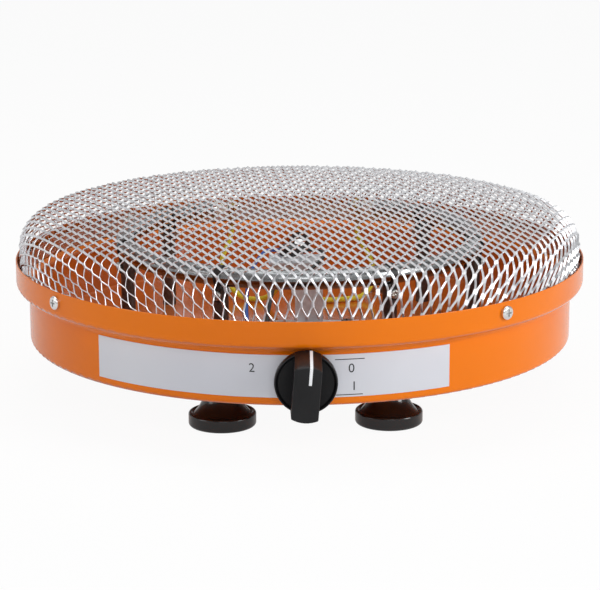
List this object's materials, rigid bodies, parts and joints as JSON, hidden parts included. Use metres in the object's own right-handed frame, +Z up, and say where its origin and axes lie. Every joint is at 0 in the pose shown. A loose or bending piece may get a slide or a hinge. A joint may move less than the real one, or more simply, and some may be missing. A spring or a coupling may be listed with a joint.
{
  "type": "korsi heater",
  "caption": "Low round electric floor heater: orange enamelled pan on black feet, domed expanded-metal guard over a ring element, rotary heat switch.",
  "frame": {"origin": "middle of the overall box, on the floor under the feet", "axes": "+Z up, the knob faces -Y, +X to the right of someone looking at the knob"},
  "size_m": [0.36, 0.3817, 0.1157],
  "materials": {
    "enamel": "glossy orange stove enamel",
    "guard_metal": "bright plated expanded metal",
    "fastener": "bright zinc-plated steel",
    "foot_plastic": "glossy black moulded plastic",
    "post_metal": "dark heat-proof paint",
    "clip_metal": "black spring steel strap",
    "ring_metal": "satin stainless sheath",
    "ceramic": "off-white glazed ceramic",
    "filling": "pressed mineral powder",
    "wire_metal": "resistance wire",
    "brass": "bare brass",
    "label": "satin white vinyl",
    "switch_plastic": "black switch moulding",
    "knob_plastic": "satin black moulding",
    "pointer_paint": "white line",
    "galvanised": "galvanised sheet",
    "cutout_plastic": "black phenolic",
    "inlet_rubber": "black rubber bush",
    "yellow_sleeve": "woven glass sleeve",
    "black_wire": "black insulated wire",
    "blue_wire": "blue insulated wire"
  },
  "bodies": {
    "heater": {"pan": "enamel", "guard": "guard_metal", "guard_screws": "fastener", "guard_washers": "fastener", "guard_nuts": "fastener", "guard_spacers": "fastener", "foot_bolts": "fastener", "foot_nuts": "fastener", "post_screws": "fastener", "clip_screws": "fastener", "clip_nuts": "fastener", "ring_sheath": "ring_metal", "ring_filling": "filling", "heat_wire": "wire_metal", "ring_seals": "ceramic", "ring_pins": "wire_metal", "lead_lugs": "brass", "pin_nuts": "fastener", "front_label": "label", "rotary_switch": "switch_plastic", "switch_nut": "fastener", "switch_blades": "brass", "low_heat_diode": "switch_plastic", "wiring_bracket": "galvanised", "bracket_screws": "fastener", "bracket_nuts": "fastener", "earth_screw": "brass", "earth_nut": "fastener", "connector": "ceramic", "cutout_cap": "galvanised", "thermal_cutout": "cutout_plastic", "cord_inlet": "inlet_rubber", "left_ring_lead": "yellow_sleeve", "right_ring_lead": "yellow_sleeve", "black_lead": "black_wire", "blue_lead": "blue_wire", "cutout_link": "black_wire", "foot_left_rear": "foot_plastic", "foot_left_front": "foot_plastic", "foot_right_front": "foot_plastic", "foot_right_rear": "foot_plastic", "post_left_rear": "post_metal", "clip_left_rear": "clip_metal", "post_left_side": "post_metal", "clip_left_side": "clip_metal", "post_left_front": "post_metal", "clip_left_front": "clip_metal", "post_right_front": "post_metal", "clip_right_front": "clip_metal", "post_right_side": "post_metal", "clip_right_side": "clip_metal", "post_right_rear": "post_metal", "clip_right_rear": "clip_metal"},
    "knob_body": {"knob": "knob_plastic", "pointer": "pointer_paint", "switch_shaft": "fastener"}
  },
  "joints": [
    {"name": "knob_turn", "type": "hinge", "parent": "heater", "child": "knob_body", "pos_m": [0.0033, -0.16119, 0.0488], "axis": [-0.0192, 0.9998, 0], "range_deg": [-60, 120]}
  ]
}
